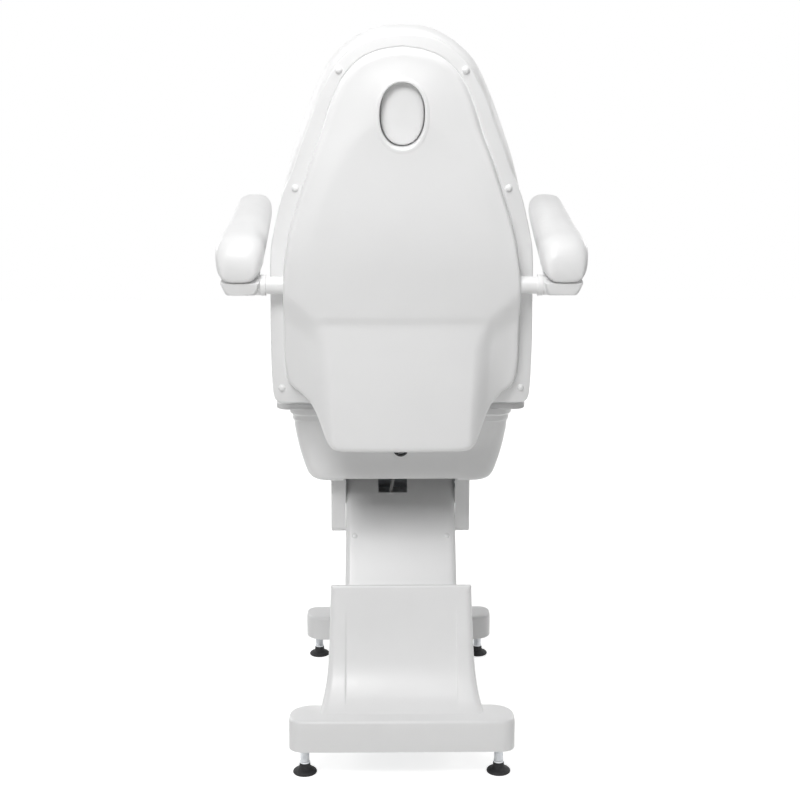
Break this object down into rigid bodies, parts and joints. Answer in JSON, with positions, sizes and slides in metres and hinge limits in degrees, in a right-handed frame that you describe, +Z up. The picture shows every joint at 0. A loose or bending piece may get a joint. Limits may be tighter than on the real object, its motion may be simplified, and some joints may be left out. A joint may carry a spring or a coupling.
{
  "type": "pedicure spa chair",
  "caption": "Electric pedicure and treatment chair: lifting arm, tilting seat, reclining back with face hole, swing-up armrests and folding, lengthening leg rests.",
  "frame": {"origin": "on the floor, under the middle of the chair's box", "axes": "+X is the sitter's right, +Y points from the back to the toes, +Z is up"},
  "size_m": [0.8078, 1.303, 1.6697],
  "materials": {
    "shell": "gloss",
    "upholstery": "satin",
    "rubber": "matte",
    "steel": "satin",
    "frame": "satin",
    "dark": "matte",
    "board": "satin",
    "cable": "matte"
  },
  "bodies": {
    "base": {"base_frame": "frame", "base_cover": "shell", "front_foot_cover": "shell", "spine_cover": "shell", "lower_pivot_pin": "steel", "link_pin_lower": "steel"},
    "foot_rear_left": {"foot_stem_rear_left": "steel", "foot_pad_rear_left": "rubber"},
    "foot_rear_right": {"foot_stem_rear_right": "steel", "foot_pad_rear_right": "rubber"},
    "foot_front_left": {"foot_stem_front_left": "steel", "foot_pad_front_left": "rubber"},
    "foot_front_right": {"foot_stem_front_right": "steel", "foot_pad_front_right": "rubber"},
    "lift_arm": {"lift_arm_frame": "frame", "neck_cover": "shell", "neck_front_cover": "shell", "arm_cable": "cable"},
    "tie_link": {"tie_link": "frame"},
    "lift_actuator_body": {"lift_actuator_body": "dark"},
    "lift_actuator_rod": {"lift_actuator_rod": "steel"},
    "carriage": {"carriage_frame": "frame", "upper_housing": "shell", "upper_pivot_pin": "steel", "link_pin_upper": "steel", "seat_tilt_pin": "steel"},
    "tilt_actuator_body": {"tilt_actuator_body": "dark"},
    "tilt_actuator_rod": {"tilt_actuator_rod": "steel"},
    "seat": {"seat_frame": "frame", "seat_hull": "shell", "seat_board": "board", "seat_cushion": "upholstery", "rear_socket": "dark", "control_box": "dark", "back_hinge_pin": "steel", "leg_hinge_pin": "steel"},
    "back_actuator_body": {"back_actuator_body": "dark"},
    "back_actuator_rod": {"back_actuator_rod": "steel"},
    "back": {"back_frame": "frame", "back_shell": "shell", "back_cushion": "upholstery"},
    "face_plug": {"face_plug": "upholstery"},
    "armrest_left": {"armrest_tube_left": "shell", "armrest_housing_left": "shell", "armrest_pad_left": "upholstery"},
    "armrest_right": {"armrest_tube_right": "shell", "armrest_housing_right": "shell", "armrest_pad_right": "upholstery"},
    "leg_left": {"leg_frame_left": "frame"},
    "leg_right": {"leg_frame_right": "frame"},
    "leg_slide_left": {"leg_runner_left": "steel", "leg_tray_left": "shell", "leg_cushion_left": "upholstery"},
    "leg_slide_right": {"leg_runner_right": "steel", "leg_tray_right": "shell", "leg_cushion_right": "upholstery"},
    "leg_lever_left": {"leg_lever_left": "dark"},
    "leg_lever_right": {"leg_lever_right": "dark"}
  },
  "joints": [
    {"name": "lift", "type": "hinge", "parent": "base", "child": "lift_arm", "pos_m": [0, -0.409, 0.256], "axis": [1, 0, 0], "range_deg": [-37, 4]},
    {"name": "carriage_level", "type": "hinge", "parent": "lift_arm", "child": "carriage", "pos_m": [0, -0.1681, 0.60004], "axis": [1, 0, 0], "range_deg": [-4, 37]},
    {"name": "tie_link_swing", "type": "hinge", "parent": "base", "child": "tie_link", "pos_m": [0, -0.435, 0.289], "axis": [1, 0, 0], "range_deg": [-37, 4]},
    {"name": "lift_actuator_swing", "type": "hinge", "parent": "base", "child": "lift_actuator_body", "pos_m": [0, 0.041, 0.19], "axis": [1, 0, 0], "range_deg": [-1.1, 9.5]},
    {"name": "lift_actuator_stroke", "type": "slide", "parent": "lift_actuator_body", "child": "lift_actuator_rod", "axis": [0, -0.8532, 0.5216], "range_m": [-0.1025, 0.0112]},
    {"name": "seat_tilt", "type": "hinge", "parent": "carriage", "child": "seat", "pos_m": [0, -0.274, 0.735], "axis": [1, 0, 0], "range_deg": [0, 12]},
    {"name": "tilt_actuator_swing", "type": "hinge", "parent": "carriage", "child": "tilt_actuator_body", "pos_m": [-0.07, -0.062, 0.6], "axis": [1, 0, 0], "range_deg": [0, 10.6]},
    {"name": "tilt_actuator_stroke", "type": "slide", "parent": "tilt_actuator_body", "child": "tilt_actuator_rod", "axis": [0, 0.5072, 0.8618], "range_m": [0, 0.0526]},
    {"name": "back_recline", "type": "hinge", "parent": "seat", "child": "back", "pos_m": [0, -0.389, 0.835], "axis": [1, 0, 0], "range_deg": [0, 70]},
    {"name": "back_actuator_swing", "type": "hinge", "parent": "seat", "child": "back_actuator_body", "pos_m": [0, -0.024, 0.745], "axis": [1, 0, 0], "range_deg": [0, 1.1]},
    {"name": "back_actuator_stroke", "type": "slide", "parent": "back_actuator_body", "child": "back_actuator_rod", "axis": [0, -0.9941, 0.1085], "range_m": [-0.0698, 0]},
    {"name": "face_plug_pull", "type": "slide", "parent": "back", "child": "face_plug", "axis": [0, 0.9781, 0.2079], "range_m": [0, 0.16]},
    {"name": "armrest_left_lift", "type": "hinge", "parent": "back", "child": "armrest_left", "pos_m": [0, -0.53765, 1.11828], "axis": [1, 0, 0], "range_deg": [-68, 92]},
    {"name": "armrest_right_lift", "type": "hinge", "parent": "back", "child": "armrest_right", "pos_m": [0, -0.53765, 1.11828], "axis": [1, 0, 0], "range_deg": [-68, 92]},
    {"name": "leg_left_fold", "type": "hinge", "parent": "seat", "child": "leg_left", "pos_m": [0, 0.144, 0.79], "axis": [1, 0, 0], "range_deg": [-63, 22]},
    {"name": "leg_right_fold", "type": "hinge", "parent": "seat", "child": "leg_right", "pos_m": [0, 0.144, 0.79], "axis": [1, 0, 0], "range_deg": [-63, 22]},
    {"name": "leg_left_extend", "type": "slide", "parent": "leg_left", "child": "leg_slide_left", "axis": [0, 0.9563, -0.2924], "range_m": [0, 0.15]},
    {"name": "leg_right_extend", "type": "slide", "parent": "leg_right", "child": "leg_slide_right", "axis": [0, 0.9563, -0.2924], "range_m": [0, 0.15]},
    {"name": "leg_lever_left_squeeze", "type": "hinge", "parent": "leg_left", "child": "leg_lever_left", "pos_m": [-0.19, 0.21094, 0.76953], "axis": [1, 0, 0], "range_deg": [0, 20], "stiffness_Nm_per_rad": 1.5},
    {"name": "leg_lever_right_squeeze", "type": "hinge", "parent": "leg_right", "child": "leg_lever_right", "pos_m": [0.19, 0.21094, 0.76953], "axis": [1, 0, 0], "range_deg": [0, 20], "stiffness_Nm_per_rad": 1.5},
    {"name": "foot_rear_left_turn", "type": "hinge", "parent": "base", "child": "foot_rear_left", "pos_m": [-0.222, -0.554, 0.05], "axis": [0, 0, 1], "continuous": true},
    {"name": "foot_rear_right_turn", "type": "hinge", "parent": "base", "child": "foot_rear_right", "pos_m": [0.222, -0.554, 0.05], "axis": [0, 0, 1], "continuous": true},
    {"name": "foot_front_left_turn", "type": "hinge", "parent": "base", "child": "foot_front_left", "pos_m": [-0.222, 0.206, 0.05], "axis": [0, 0, 1], "continuous": true},
    {"name": "foot_front_right_turn", "type": "hinge", "parent": "base", "child": "foot_front_right", "pos_m": [0.222, 0.206, 0.05], "axis": [0, 0, 1], "continuous": true}
  ],
  "couplings": [
    {"joint": "carriage_level", "follows": "lift", "ratio": -1},
    {"joint": "tie_link_swing", "follows": "lift", "ratio": 1},
    {"joint": "lift_actuator_swing", "follows": "lift", "ratio": -0.255},
    {"joint": "lift_actuator_stroke", "follows": "lift", "m_per_rad": 0.1585},
    {"joint": "tilt_actuator_swing", "follows": "seat_tilt", "ratio": 0.875},
    {"joint": "tilt_actuator_stroke", "follows": "seat_tilt", "m_per_rad": 0.2495},
    {"joint": "back_actuator_swing", "follows": "back_recline", "ratio": 0.005},
    {"joint": "back_actuator_stroke", "follows": "back_recline", "m_per_rad": -0.057}
  ]
}
